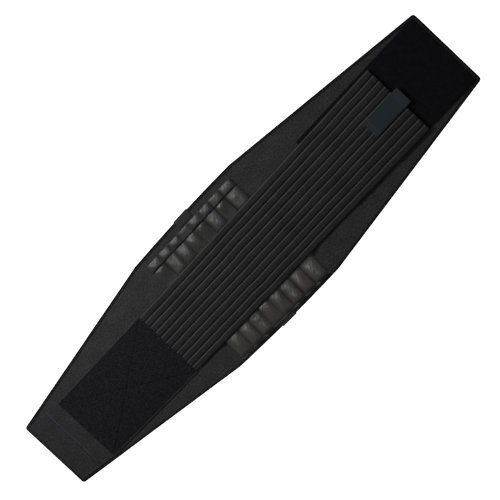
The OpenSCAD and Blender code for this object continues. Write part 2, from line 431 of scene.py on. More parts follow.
# Pile panel: black loop pile on the right end, brushed up, which the hooks behind the left end
# close on at any place. It is sewn down round its border.
pile_low, pile_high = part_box("pile_panel_2")[0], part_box("pile_panel_3")[1]
pile_border = 3 * mm
pile_row_y = 63.4 * mm
end_row_y = 61 * mm


def copies(name, model, centres, along, up):
    """One mesh of many copies of a small model: its X turned along, its Z turned up, at the centres"""
    base = np.array([v.co for v in model.data.vertices])
    faces = [tuple(p.vertices) for p in model.data.polygons]
    side = np.cross(up, along)
    points = (
        centres[:, None]
        + base[None, :, :1] * along[:, None]
        + base[None, :, 1:2] * side[:, None]
        + base[None, :, 2:] * up[:, None]
    )
    count = len(centres)
    mesh = bpy.data.meshes.new(name)
    shifted = [tuple(v + k * len(base) for v in f) for k in range(count) for f in faces]
    mesh.from_pydata(points.reshape(-1, 3).tolist(), [], shifted)
    corner = np.empty(len(mesh.loops), int)
    mesh.loops.foreach_get("vertex_index", corner)
    spread = mesh.uv_layers.new(name="cloth")
    where = centres[corner // len(base), :2] + base[corner % len(base), :2]
    spread.data.foreach_set("uv", where.ravel())
    mesh.shade_smooth()
    piece = bpy.data.objects.new(name, mesh)
    bpy.context.scene.collection.objects.link(piece)
    return piece


def fibre_model(tall, thick, lean):
    """One brushed-up fibre: a three-sided spike that leans over"""
    bpy.ops.object.select_all(action="DESELECT")
    bpy.ops.mesh.primitive_cone_add(vertices=3, radius1=thick, radius2=0, depth=tall)
    model = bpy.context.object
    tip = [v for v in model.data.vertices if v.co.z > 0.4 * tall]
    for v in model.data.vertices:
        v.select = v in tip
    bpy.ops.object.mode_set(mode="EDIT")
    bpy.ops.transform.translate(value=(lean, 0, 0))
    bpy.ops.object.mode_set(mode="OBJECT")
    return model


def nap(name, x0, x1, low, high, face, pitch, tall, seed):
    """Fibres over a face, one to each cell of a jittered grid, leaning all ways"""
    draw = np.random.default_rng(seed)
    x, y = np.meshgrid(np.arange(x0, x1, pitch), np.arange(low(x1) - pitch, high(x0) + pitch, pitch))
    x = x.ravel() + draw.uniform(-0.5, 0.5, x.size) * pitch
    y = y.ravel() + draw.uniform(-0.5, 0.5, y.size) * pitch
    inside = (y > low(x)) & (y < high(x)) & (x > x0) & (x < x1)
    x, y = x[inside], y[inside]
    turn = draw.uniform(0, 2 * math.pi, x.size)
    along = np.stack([np.cos(turn), np.sin(turn), 0 * turn], 1)
    up = np.tile([0.0, 0.0, 1.0], (x.size, 1))
    model = fibre_model(tall, 0.26 * mm, 0.8 * mm)
    piece = copies(name, model, np.stack([x, y, face(x, y) + 0.4 * tall], 1), along, up)
    bpy.data.objects.remove(model)
    return piece


def stitch_model(long, wide, tall):
    """One lockstitch: a short bead of thread, pinched at both ends where it goes through"""
    bpy.ops.object.select_all(action="DESELECT")
    bpy.ops.mesh.primitive_uv_sphere_add(segments=8, ring_count=5, radius=0.5)
    model = bpy.context.object
    bpy.ops.object.mode_set(mode="EDIT")
    bpy.ops.mesh.select_all(action="SELECT")
    bpy.ops.transform.rotate(value=math.pi / 2, orient_axis="Y", center_override=(0, 0, 0))
    bpy.ops.transform.resize(value=(long, wide, tall), center_override=(0, 0, 0))
    bpy.ops.object.mode_set(mode="OBJECT")
    return model


def distances(line):
    """How far along a line each of its points lies"""
    return np.concatenate([[0], np.cumsum(np.linalg.norm(np.diff(line, axis=0), axis=1))])


def sew(name, runs, pitch=3.2 * mm, face_up=True):
    """Rows of stitches along these lines of points, end to end"""
    centres, along = [], []
    for run in runs:
        run = np.asarray(run, float)
        far = distances(run)
        count = int(far[-1] / pitch)
        middles = (np.arange(count) + 0.5) * far[-1] / max(count, 1)
        at = [np.stack([np.interp(m, far, run[:, k]) for k in range(3)], 1) for m in
              (middles, middles - 0.3 * pitch, middles + 0.3 * pitch)]
        step = at[2] - at[1]
        centres.append(at[0])
        along.append(step / np.linalg.norm(step, axis=1, keepdims=True))
    centres, along = np.concatenate(centres), np.concatenate(along)
    up = np.tile([0.0, 0.0, 1.0 if face_up else -1.0], (len(centres), 1))
    up -= along * (up * along).sum(1, keepdims=True)
    up /= np.linalg.norm(up, axis=1, keepdims=True)
    model = stitch_model(0.86 * pitch, 0.55 * mm, 0.42 * mm)
    piece = copies(name, model, centres, along, up)
    bpy.data.objects.remove(model)
    return piece


def straight(start, end, face, lift=0.05 * mm, step=2 * mm):
    """Points of a straight row of stitches over a face"""
    count = max(2, int(math.dist(start, end) / step))
    x, y = np.linspace(start[0], end[0], count), np.linspace(start[1], end[1], count)
    return np.stack([x, y, face(x, y) + lift], 1)


def twisted_thread(threads, u, v):
    twist = (u + v).wave(0.5 * mm)
    return 0.5 + twist * 0.3, 0.5 + twist * 0.4


def loop_pile(threads, u, v):
    loops = threads.speckle(1.3 * mm, 3)
    brushed = threads.speckle(9 * mm, 2)
    return 0.2 + (loops - 0.5) * 1.1 + (brushed - 0.5) * 0.5, loops


def inner_edge(x):
    """The line just inside the tape, where the panels on the ends stop"""
    return cloth_edge(x, 5.3 * mm)


def pile_edge(x):
    return np.minimum(inner_edge(x), pile_high.y)


def pile_face(x, y):
    border = np.minimum(pile_edge(x) - np.abs(y), np.minimum(x - pile_low.x, pile_high.x - x))
    sewn = bell(border - pile_border, 1.1 * mm)
    return cover_top + lie(x, y) + 1.05 * mm + 0.12 * mm * cover_wave(x, 2 * y) - 0.4 * mm * sewn


thread_finish = fabric(
    "sewing_thread", (0.006, 0.006, 0.006), (0.030, 0.030, 0.032), 0.5, 0.1 * mm, twisted_thread)
pile_finish = fabric(
    "loop_pile", (0.0022, 0.0022, 0.0028), (0.010, 0.010, 0.0125), 0.95, 0.5 * mm, loop_pile, 0.02, 0.08)
for n, (x0, x1, joint) in enumerate(lengths[4:]):
    a, b = max(x0, pile_low.x), min(x1, pile_high.x)
    pile = cloth(
        f"pile_panel_length_{n + 1}", a, b, 2 * mm,
        lambda x: -pile_edge(x), pile_edge,
        lambda x, y: cover_top + lie(x, y) + 0.28 * mm,
        pile_face, 2 * mm, free=(n == 0, n == 1),
    )
    dress(pile, pile_finish, [f"pile_panel_{n + 2}"])
    fibres = nap(
        f"pile_fibres_{n + 1}", a, b, lambda x: -pile_edge(x), pile_edge,
        pile_face, 1.5 * mm, 0.9 * mm, 20 + n,
    )
    dress(fibres, pile_finish)
    rows = []
    for y in (-pile_row_y, pile_row_y):
        rows.append(straight((a + pile_border * (n == 0), y), (b - pile_border * n, y), pile_face, 0.1 * mm))
    end = pile_low.x + pile_border if n == 0 else pile_high.x - pile_border
    rows.append(straight((end, -end_row_y), (end, end_row_y), pile_face, 0.1 * mm))
    thread = dress(sew(f"pile_thread_{n + 1}", rows), pile_finish)
    for piece in (pile, fibres, thread):
        bend_at(piece, joint)
    size = cut_area(a, b, pile_edge)
    b - a
    f"cover_{n + 5}"

# Hook panel: moulded hooks on a stiff tape, sewn behind the left end. It faces the wearer's side
# and closes the belt on the pile.
hook_low, hook_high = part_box("hook_panel")
hook_pitch = 1.9 * mm


def hook_model(tall):
    """One moulded hook: a square stem that leans over and points back"""
    bpy.ops.object.select_all(action="DESELECT")
    bpy.ops.mesh.primitive_cylinder_add(
        vertices=4, radius=0.13 * mm, depth=0.5 * tall, location=(0, 0, 0.25 * tall))
    model = bpy.context.object
    bpy.ops.object.transform_apply(location=True)
    bpy.ops.object.mode_set(mode="EDIT")
    bpy.ops.mesh.select_mode(type="FACE")
    bpy.ops.mesh.select_all(action="DESELECT")
    bpy.ops.object.mode_set(mode="OBJECT")
    for face in model.data.polygons:
        face.select = face.normal.z > 0.9
    bpy.ops.object.mode_set(mode="EDIT")
    for step in ((0.12 * mm, 0, 0.35 * tall), (0.24 * mm, 0, 0.12 * tall), (0.18 * mm, 0, -0.25 * tall)):
        bpy.ops.mesh.extrude_region_move(TRANSFORM_OT_translate={"value": step})
    bpy.ops.mesh.select_mode(type="VERT")
    bpy.ops.object.mode_set(mode="OBJECT")
    return model


def hook_field(name, x0, x1, low, high, face, pitch, tall):
    """Rows of hooks that hang from a face, turned to and fro row by row"""
    x, y = np.meshgrid(np.arange(x0 + pitch, x1 - 0.5 * pitch, pitch), np.arange(low(x1), high(x0), pitch))
    row = np.rint(y / pitch).astype(int).ravel()
    x, y = x.ravel(), y.ravel()
    inside = (y > low(x) + pitch) & (y < high(x) - pitch)
    x, y, row = x[inside], y[inside], row[inside]
    along = np.stack([np.where(row % 2 == 0, 1.0, -1.0), 0 * x, 0 * x], 1)
    up = np.tile([0.0, 0.0, -1.0], (x.size, 1))
    model = hook_model(tall)
    piece = copies(name, model, np.stack([x, y, face(x, y)], 1), along, up)
    bpy.data.objects.remove(model)
    return piece


def moulded(threads, u, v):
    rows = v.wave(hook_pitch)
    return 0.45 + rows * 0.15 + (threads.speckle(3 * mm) - 0.5) * 0.3, 0.5 + rows * 0.2


hook_finish = fabric(
    "moulded_hooks", (0.004, 0.004, 0.0045), (0.016, 0.016, 0.018), 0.42, 0.1 * mm, moulded, 0.0, 0.3)
hook_base = cloth(
    "hook_tape", hook_low.x, hook_high.x, 3 * mm,
    lambda x: -inner_edge(x), inner_edge,
    lambda x, y: lie(x, y) + 0.42 * mm,
    lambda x, y: lie(x, y) + lining_z - 0.02 * mm,
    3 * mm, edge=0.3 * mm, free=(True, True),
)
hooks = hook_field(
    "hooks", hook_low.x, hook_high.x, lambda x: -inner_edge(x), inner_edge,
    lambda x, y: lie(x, y) + 0.46 * mm, hook_pitch, 0.45 * mm,
)
dress(hook_base, hook_finish, ["hook_panel"])
dress(hooks, hook_finish)
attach(hook_base, "left_wing_3")
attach(hooks, "left_wing_3")
cut_area(hook_low.x, hook_high.x, inner_edge)

# Binding: black tape folded over the whole edge and sewn through all the layers, 5 mm wide on each
# face. Over the middle of the back the webbing takes its place.
tape_sewn = 3.4 * mm
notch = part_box("spine_band")[1].x
# The tape's section: how far in from the belt's edge, and how high above the table
tape_section = mm * np.array([
    (5.0, 3.35), (5.0, 3.65), (4.8, 3.80), (4.2, 3.84), (3.4, 3.66), (2.6, 3.86), (1.6, 3.88), (0.8, 3.66),
    (0.25, 3.10), (0.02, 2.30), (0.02, 1.50), (0.25, 0.75), (0.8, 0.22), (1.6, 0.02), (2.6, 0.0), (3.4, 0.12),
    (4.2, 0.0), (4.8, 0.02), (5.0, 0.15), (5.0, 0.60), (4.8, 0.78), (1.8, 0.78), (1.0, 1.30), (0.82, 1.90),
    (1.0, 2.60), (1.8, 3.22), (4.8, 3.22), (5.0, 3.35),
])


def rounded_line(points, radius, step):
    """Points along a line whose corners are arcs of this radius"""
    points = [np.array(p, float) for p in points]
    line = [points[0]]
    for before, corner, after in zip(points, points[1:], points[2:]):
        ahead = (corner - before) / np.linalg.norm(corner - before)
        leaving = (after - corner) / np.linalg.norm(after - corner)
        turn = math.acos(np.clip(ahead @ leaving, -1, 1))
        if turn < math.radians(20):
            line.append(corner)
            continue
        side = math.copysign(1, ahead[0] * leaving[1] - ahead[1] * leaving[0])
        inward = side * np.array([-ahead[1], ahead[0]])
        first = corner - ahead * radius * math.tan(turn / 2)
        for angle in np.linspace(0, turn, 9):
            line.append(first + radius * (inward * (1 - math.cos(angle)) + ahead * math.sin(angle)))
    line.append(points[-1])
    line = np.array(line)
    far = distances(line)
    even = np.unique(np.concatenate([far, np.arange(0, far[-1], step)]))
    even = even[np.concatenate([[True], np.diff(even) > 0.05 * mm])]
    return np.stack([np.interp(even, far, line[:, k]) for k in (0, 1)], 1)


def rim(x0, x1):
    """The lines of the edge between two places, clockwise, round the end of the belt where it is one"""
    clear = half_length - 9 * mm
    a, b = max(x0, -clear), min(x1, clear)
    xs = np.linspace(a, b, int((b - a) / (3 * mm)))
    top = [(x, float(half_height(x))) for x in xs]
    bottom = [(x, -y) for x, y in top[::-1]]
    if x1 > clear:
        return [top + [(half_length, half_end), (half_length, -half_end)] + bottom]
    if x0 < -clear:
        return [bottom + [(-half_length, -half_end), (-half_length, half_end)] + top]
    return [top, bottom]


def inward_of(line):
    """The direction into the cloth at each point of a clockwise line"""
    ahead = np.gradient(line, axis=0)
    ahead /= np.linalg.norm(ahead, axis=1, keepdims=True)
    return np.stack([ahead[:, 1], -ahead[:, 0]], 1)


def folded_tape(name, line):
    into = inward_of(line)
    far = distances(line)
    flat = line[:, None] + into[:, None] * tape_section[None, :, :1]
    upper = tape_section[None, :, 1] > 3.5 * mm
    gather = 0.05 * mm * np.sin(far * 2 * math.pi / (3.2 * mm))[:, None] * upper
    z = tape_section[None, :, 1] + lie(flat[..., 0], flat[..., 1]) + gather
    places = np.concatenate([flat, z[..., None]], 2)
    threads = np.stack(np.broadcast_arrays(far[:, None], tape_round[None]), -1)
    return tube(name, places, threads)


tape_round = distances(tape_section)
tape_fold = float(tape_round[9])


def ribbed_tape(threads, u, v):
    ribs = u.wave(1.0 * mm)
    # Painted shade: the tape is darkened towards its rolled outer edge.
    turned = (v.ridge(tape_fold, 11 * mm) * 1.5).math("MINIMUM", 1)
    grain = threads.speckle(0.9 * mm)
    return 0.5 + ribs * 0.12 + (grain - 0.5) * 0.6 - turned * 0.6, 0.5 + ribs * 0.4


def join(name, pieces):
    if len(pieces) > 1:
        bpy.ops.object.select_all(action="DESELECT")
        for piece in pieces:
            piece.select_set(True)
        bpy.context.view_layer.objects.active = pieces[0]
        bpy.ops.object.join()
    pieces[0].name = name
    return pieces[0]


tape_finish = fabric(
    "edge_tape", (0.0008, 0.0008, 0.0009), (0.028, 0.028, 0.029), 0.75, 0.2 * mm, ribbed_tape, 0.0, 0.06)
for n, (x0, x1, joint) in enumerate(lengths):
    a = max(x0, notch) if n == 3 else x0
    b = min(x1, -notch) if n == 2 else x1
    lines = [rounded_line(line, corner_r, 1.6 * mm) for line in rim(a, b)]
    parts = [folded_tape(f"binding_part_{k}", line) for k, line in enumerate(lines)]
    tape = join(f"binding_{n + 1}", parts)
    dress(tape, tape_finish, belt_nodes("binding")[n])
    threads = []
    for face, z, up in (("upper", 3.72 * mm, True), ("lower", 0.2 * mm, False)):
        rows = []
        for line in lines:
            sewn = line + inward_of(line) * tape_sewn
            rows.append(np.column_stack([sewn, z + lie(sewn[:, 0], sewn[:, 1])]))
        thread = sew(f"binding_thread_{face}_{n + 1}", rows, face_up=up)
        threads.append(dress(thread, thread_finish))
    for piece in (tape, *threads):
        bend_at(piece, joint)
    f"cover_{n + 1}"

# Spine band: 31 mm webbing down the wearer's spine, under the lining. Its ends are folded up over
# both edges of the belt and sewn down on the outer face, the upper one longer than the lower.
band_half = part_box("spine_band")[1].x
band_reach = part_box("spine_band")[1].y - 0.45 * mm
band_t = 0.38 * mm
upper_end, lower_end = 107.6 * mm, -114.8 * mm
flap_level, under_level = cover_top + 0.44 * mm, 0.42 * mm
band_corners = [
    (upper_end, flap_level), (band_reach, flap_level), (band_reach, under_level), (-band_reach, under_level),
    (-band_reach, flap_level), (lower_end, flap_level),
]
band_line = rounded_line(band_corners, 1.2 * mm, 2.5 * mm)
near_side = mm * np.array([0, 0.1, 0.4])
band_inside = np.linspace(-band_half + mm, band_half - mm, 9)
band_x = np.concatenate([-band_half + near_side, band_inside, band_half - near_side[::-1]])
band_thick = band_t * round_off(band_half - np.abs(band_x), 0.5 * mm)
band_out = inward_of(band_line)
loop_x = np.concatenate([band_x, band_x[-2:0:-1], band_x[:1]])
loop_t = np.concatenate([band_thick, -band_thick[-2:0:-1], band_thick[:1]])
band_y = band_line[:, None, 0] + band_out[:, None, 0] * loop_t
band_z = band_line[:, None, 1] + band_out[:, None, 1] * loop_t + lie(0, 0)
band_places = np.stack([np.broadcast_to(loop_x, band_y.shape), band_y, band_z], -1)
band_far = distances(band_line)
band_threads = np.stack(np.broadcast_arrays(loop_x[None], band_far[:, None]), -1)


def plain_webbing(threads, u, v):
    weave = u.wave(2.2 * mm) * v.wave(1.6 * mm)
    return 0.42 + weave * 0.12 + (threads.speckle(1.6 * mm) - 0.5) * 0.7, 0.5 + weave * 0.4


def band_top(x, y):
    return flap_level + band_t + lie(x, y)


band_finish = fabric(
    "spine_webbing", (0.004, 0.0038, 0.004), (0.028, 0.026, 0.027), 0.65, 0.3 * mm, plain_webbing, 0.04, 0.15)
band = dress(tube("spine_band_webbing", band_places, band_threads), band_finish, ["spine_band"])
row_x = 13 * mm
row_ys = (109.4 * mm, 117.2 * mm, -116.6 * mm)
band_rows = [straight((-row_x, y), (row_x, y), band_top, -0.06 * mm) for y in row_ys]
band_rows += [straight((x, row_ys[0]), (x, row_ys[1]), band_top, -0.06 * mm) for x in (-row_x, row_x)]
band_thread = dress(sew("spine_band_thread", band_rows, 2.6 * mm), thread_finish)
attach(band, "back")
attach(band_thread, "back")

# Stays: eight flat strips of spring steel, 18 by 1 mm with round ends, that stiffen the back. Each
# lies loose in its channel and slides out at the top.
stay_count = 8
stay_edge = 0.25 * mm


def brushed_steel(name):
    finish = bpy.data.materials.new(name)
    finish.use_nodes = True
    links = finish.node_tree.links
    shader = finish.node_tree.nodes["Principled BSDF"]
    shader.inputs["Metallic"].default_value = 1
    threads = Yarn(finish.node_tree).node("UVMap", {"uv_map": "cloth"})
    drawn = threads.node("Mapping", {}, {"Vector": threads, "Scale": (1, 0.03, 1)})
    brush = drawn.speckle(0.35 * mm, 4)
    stain = threads.speckle(30 * mm, 2)
    shade = (brush - 0.5) * 0.8 + 0.5 + (stain - 0.5) * 0.4
    colour = shade.between((0.30, 0.31, 0.33, 1), (0.62, 0.63, 0.64, 1))
    links.new(colour.socket, shader.inputs["Base Color"])
    links.new((0.26 + brush * 0.16).socket, shader.inputs["Roughness"])
    relief = brush.node("Bump", {}, {"Distance": 0.02 * mm, "Height": brush})
    links.new(relief.socket, shader.inputs["Normal"])
    return finish


def steel_strip(name, low, high):
    """A strip with round ends and eased edges, its rows running across it"""
    radius = (high.x - low.x) / 2
    middle = (high.x + low.x) / 2
    arc = radius * (1 - np.cos(np.linspace(0.05, math.pi / 2, 12)))
    straight_part = np.linspace(low.y + radius, high.y - radius, 12)[1:-1]
    ys = np.concatenate([low.y + arc, straight_part, high.y - arc[::-1]])
    into = np.clip(radius - np.minimum(ys - low.y, high.y - ys), 0, radius)
    wide = np.sqrt(radius**2 - into**2)
    edge = np.minimum(stay_edge, 0.4 * wide)
    level = [low.z, low.z + stay_edge, high.z - stay_edge, high.z]
    corners = [(-1, 0), (-1, 1), (-1, 2), (-1, 3), (1, 3), (1, 2), (1, 1), (1, 0), (-1, 0)]
    x = np.stack([middle + side * (wide - (edge if k in (0, 3) else 0)) for side, k in corners], 1)
    z = np.broadcast_to([level[k] for side, k in corners], x.shape) + lie(middle, ys)[:, None]
    places = np.stack([x, np.broadcast_to(ys[:, None], x.shape), z], -1)
    return tube(name, places, places[..., :2].copy())


steel_finish = brushed_steel("spring_steel")
stay_boxes = [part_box(f"stay_{n + 1}") for n in range(stay_count)]
for n, (low, high) in enumerate(stay_boxes):
    stay = dress(steel_strip(f"steel_stay_{n + 1}", low, high), steel_finish, [f"stay_{n + 1}"])
    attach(stay, f"stay_{n + 1}")

# Stay panel: grey satin twill sewn to the cover in nine upright rows, which make the eight padded
# channels. A folded hem closes them below; above, they end at a slit under the cap strip.
panel_low, panel_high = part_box("stay_panel")
cap_low, cap_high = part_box("cap_strip")
outer_channel = 29.5 * mm
inner_channel = (panel_high.x - panel_low.x - 2 * outer_channel) / (stay_count - 2)
seams = np.array(
    [panel_low.x + mm] + [panel_low.x + outer_channel + k * inner_channel for k in range(stay_count - 1)]
    + [panel_high.x - mm])
satin_t = 0.5 * mm
seam_level = cover_top + 0.62 * mm
channel_rise = panel_high.z - seam_level
hem_y = panel_low.y + 3 * mm
strap_low, strap_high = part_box("elastic_2")
# How far each channel stands up above the strap, below it and under the cap, and where each puff peaks
above_puff = mm * np.array([3.6, 1.2, 1.7, 2.6, 3.4, 1.2, 3.6, 1.5])
below_puff = mm * np.array([2.8, 3.5, 3.1, 2.0, 2.8, 3.4, 3.2, 3.9])
cap_puff = mm * np.array([1.1, 1.0, 1.2, 0.5, 1.1, 0.8, 0.7, 1.3])
above_peak = np.array([0.80, 0.26, 0.34, 0.66, 0.80, 0.28, 0.82, 0.30])
below_peak = np.array([0.60, 0.74, 0.78, 0.36, 0.62, 0.76, 0.70, 0.82])
cap_peak = np.array([0.40, 0.35, 0.45, 0.70, 0.38, 0.42, 0.48, 0.40])
channel_skew = np.random.default_rng(7).uniform(-0.9, 0.9, stay_count)
crease = rumple(8, 15 * mm)
slump = rumple(9, 34 * mm)


def ramp(value, start, end):
    """0 before start, 1 after end, easing in between"""
    share = np.clip((value - start) / (end - start), 0, 1)
    return share * share * (3 - 2 * share)


def puff(y, start, end, peak):
    """A swell between two places, 1 at its peak, which lies this share of the way along"""
    share = np.clip((y - start) / (end - start), 1e-6, 1 - 1e-6)
    return (share / peak) ** (2.4 * peak) * ((1 - share) / (1 - peak)) ** (2.4 - 2.4 * peak)


def satin_face(x, y):
    """The satin's outer face: a padded channel between each two seams, closed by the hem below"""
    k = np.clip(np.searchsorted(seams, x) - 1, 0, stay_count - 1)
    middle, half = (seams[k] + seams[k + 1]) / 2, (seams[k + 1] - seams[k]) / 2
    across = np.clip((x - middle) / half, -1, 1)
    arch = (1 - across**4) ** 0.6
    closed = 1 - (1 - np.clip((y - hem_y) / (6 * mm), 0, 1)) ** 4
    above = above_puff[k] * puff(y, strap_high.y - 1.5 * mm, panel_high.y + 1.5 * mm, above_peak[k])
    below = below_puff[k] * puff(y, strap_low.y + 1.5 * mm, hem_y, below_peak[k])
    capped = cap_puff[k] * puff(y, cap_low.y - mm, cap_high.y + mm, cap_peak[k])
    free = (above + below + capped) / mm
    creased = 0.30 * mm * (1 + crease(x, 0.5 * y)) + 0.25 * mm * (1 + slump(x, y))
    loose = np.clip(free, 0, 1) * np.maximum(creased, 0) + free * mm * (1 + channel_skew[k] * across * 0.5)
    hem = bell(y - panel_low.y - 0.8 * mm, 0.6 * mm) + bell(y - hem_y + 0.1 * mm, 0.6 * mm)
    swell = arch * (closed * channel_rise + (1 - across**2) ** 0.8 * loose)
    return seam_level + lie(x, y) + swell + 0.7 * mm * hem


def satin_twill(threads, u, v):
    twill = (v - u * 0.8).wave(2.9 * mm)
    fine = (v + u * 0.6).wave(0.9 * mm)
    slub = threads.speckle(2.2 * mm, 3)
    patch = threads.speckle(24 * mm, 2)
    # Painted shade: the colour is darkened along each seam's valley.
    drawn = 0
    for seam in seams:
        drawn = u.ridge(float(seam), 4 * mm) + drawn
    # Painted highlight: the hem's raised fold is lightened in colour.
    folded = v.ridge(panel_low.y + 1.2 * mm, 3.4 * mm)
    # Painted light: the lower rows are lightened and the cap strip darkened, for how the light falls across the
    # panel.
    capped = v.ridge((cap_low.y + cap_high.y) / 2, 30 * mm)
    painted_row_light = v.ridge(panel_low.y + 14 * mm, 70 * mm) * 0.5 - capped * 0.16
    shade = 0.42 + twill * 0.24 + fine * 0.05 + (slub - 0.5) * 0.6 + (patch - 0.5) * 0.8 - drawn * 0.5
    shade = shade + folded * 0.4 + painted_row_light
    return shade, 0.5 + twill * 0.25 + fine * 0.12


def satin_cloth(name, low, high, across):
    return cloth(
        name, low.x, high.x, 0.9 * mm, lambda x: low.y, lambda x: high.y,
        lambda x, y: satin_face(x, y) - satin_t, satin_face, across, edge=0.4 * mm, free=(True, True),
    )


satin_finish = fabric(
    "satin_twill", (0.0045, 0.0043, 0.0042), (0.036, 0.034, 0.0327), 0.4, 0.3 * mm, satin_twill, 0.02, 0.45)
satin = satin_cloth("stay_panel_satin", panel_low, panel_high, 1.7 * mm)
cap = satin_cloth("cap_strip_satin", cap_low, cap_high, 1.0 * mm)
dress(satin, satin_finish, ["stay_panel", "channel_seams"])
dress(cap, satin_finish, ["cap_strip"])
panel_rows = [straight((x, hem_y + mm), (x, panel_high.y - mm), satin_face) for x in seams]
panel_rows += [straight((x, cap_low.y + mm), (x, cap_high.y - mm), satin_face) for x in seams]
for y in (panel_low.y + 1.8 * mm, hem_y + 0.9 * mm):
    panel_rows.append(straight((seams[0], y), (seams[-1], y), satin_face))
panel_thread = dress(sew("stay_panel_thread", panel_rows, 2.8 * mm), thread_finish)
for piece in (satin, cap, panel_thread):
    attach(piece, "back")

# Strap flap: a piece of the cover's knit that the strap starts from. It is sewn to the belt's left
# end in one upright seam, widens towards that end, and is doubled under along both long edges.
flap_low, flap_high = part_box("strap_flap_2")
flap_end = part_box("strap_flap_1")[1].x
root_low, root_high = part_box("flap_root")
pad_low, pad_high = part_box("landing_pad_3")
flap_under = 12 * mm


def flap_edge(x, side):
    """The flap's upper edge, side 1, or its lower one, side -1"""
    share = np.clip((pad_low.x - x) / (pad_low.x + half_length), 0, 1)
    near = flap_high.y if side > 0 else flap_low.y
    return (1 - share) * near + share * side * root_high.y


def flap_face(x, y):
    off = ramp(x, root_high.x - 3 * mm, root_high.x + 3 * mm)
    z = root_high.z + off * (flap_high.z - root_high.z) - 0.32 * mm * ramp(x, flap_end - 1.5 * mm, flap_end)
    seam = 0.75 * mm * bell(x - root_high.x, 0.9 * mm)
    ridge = 0.75 * mm * bell(x - root_high.x - 2.6 * mm, 1.6 * mm)
    room = np.minimum(flap_edge(x, 1) - y, y - flap_edge(x, -1))
    hem = np.where(y < 0, 0.8 * mm, 0.4 * mm) * bell(room - 0.9 * mm, 0.9 * mm)
    dent = 0.7 * mm * bell(x - root_high.x - mm, 3 * mm) * bell(y - flap_edge(x, -1) - 5 * mm, 5 * mm)
    drawn = 0.12 * mm * np.sin(y * 2 * math.pi / (7 * mm)) * bell(x - root_high.x, 9 * mm)
    return z + lie(x, y) - seam + ridge + hem - dent + drawn + 0.06 * mm * cover_wave(x, y)


def flap_knit(threads, u, v):
    shade, height = fine_knit(threads, u, v)
    # Painted shade in the seam's groove and a painted highlight on the ridge beside it.
    groove = u.ridge(root_high.x, 2.4 * mm)
    painted_seam_highlight = u.ridge(root_high.x + 2.8 * mm, 3.4 * mm)
    pulled = threads.node("Mapping", {}, {"Vector": threads, "Scale": (0.12, 1, 1)}).speckle(1.4 * mm)
    tight = u.ridge(root_high.x, 26 * mm) * (pulled - 0.5)
    # Painted shade: a dark spot in the dent at the seam's lower end.
    painted_dent_shade = u.ridge(root_high.x + 2 * mm, 9 * mm) * v.ridge(root_low.y + 5 * mm, 15 * mm)
    # Painted highlight: the flap's folded lower edge is lightened in colour, as if lit.
    turned = v.ridge(flap_low.y + 0.8 * mm, 3.2 * mm)
    return shade - groove * 0.45 + painted_seam_highlight * 0.35 + tight * 0.7 - painted_dent_shade * 0.9 + turned * 0.8, height


flap_finish = fabric(
    "flap_knit", (0.006, 0.006, 0.0065), (0.031, 0.0295, 0.0325), 0.75, 0.25 * mm, flap_knit)
flap_parts = [
    (root_low.x, lengths[0][1], wraps[0], ["strap_flap_3", "flap_root"], (True, False)),
    (lengths[0][1], flap_end + flap_under, wraps[1], ["strap_flap_1", "strap_flap_2"], (False, True)),
]
for n, (a, b, joint, nodes, free) in enumerate(flap_parts):
    flap = cloth(
        f"strap_flap_length_{n + 1}", a, b, (0.75 + 0.75 * n) * mm,
        lambda x: flap_edge(x, -1), lambda x: flap_edge(x, 1),
        lambda x, y: flap_face(x, y) - 0.55 * mm, flap_face, 1.8 * mm, edge=0.9 * mm, free=free,
    )
    dress(flap, flap_finish, nodes)
    if n == 0:
        x = root_high.x
        ends = (x, flap_edge(x, -1) + 3 * mm), (x, flap_edge(x, 1) - 3 * mm)
        rows = [straight(*ends, flap_face, 0.1 * mm)]
    else:
        rows = []
        for x in (flap_end + 4 * mm, flap_end + 8 * mm):
            rows.append(straight((x, flap_low.y + 4 * mm), (x, flap_high.y - 4 * mm), flap_face, -0.1 * mm))
    flap_thread = dress(sew(f"strap_flap_thread_{n + 1}", rows, 2.8 * mm), thread_finish)
    bend_at(flap, joint)
    bend_at(flap_thread, joint)
    b - a
    f"cover_{n + 1}"

# Landing pad: brushed loop sewn on the flap with a border row and a cross from corner to corner.
# The hooks under the strap's end close on it when the strap is drawn round the waist.
pad_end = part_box("landing_pad_1")[1].x
pad_middle = Vector(((pad_low.x + pad_end) / 2, (pad_low.y + pad_high.y) / 2))
pad_slope = (pad_high.y - pad_low.y) / (pad_end - pad_low.x)
pad_fibre = 0.75 * mm
pad_border = 3.2 * mm


def pad_face(x, y):
    room = np.minimum(np.minimum(y - pad_low.y, pad_high.y - y), np.minimum(x - pad_low.x, pad_end - x))
    level = pad_high.z - 0.35 * mm + lie(x, y) + 0.12 * mm * cover_wave(1.3 * x, 1.3 * y)
    crossing = 0
    for side in (-1, 1):
        away = ((y - pad_middle.y) - side * pad_slope * (x - pad_middle.x)) / math.hypot(1, pad_slope)
        crossing = np.maximum(crossing, bell(away, 1.5 * mm))
    border = bell(room - pad_border, 1.2 * mm)
    return level - 0.55 * mm * crossing - 0.4 * mm * border


def brushed_loop(threads, u, v):
    loops = threads.speckle(2.4 * mm, 3)
    brushed = threads.speckle(7 * mm, 2)
    rising = v - pad_middle.y - (u - pad_middle.x) * pad_slope
    falling = v - pad_middle.y + (u - pad_middle.x) * pad_slope
    # Painted shade: the colour is darkened along the sewn-down cross.
    crossing = rising.ridge(0, 4.4 * mm).math("MAXIMUM", falling.ridge(0, 4.4 * mm))
    return 0.32 + (loops - 0.5) * 2.2 + (brushed - 0.5) * 0.6 - crossing * 0.3, loops


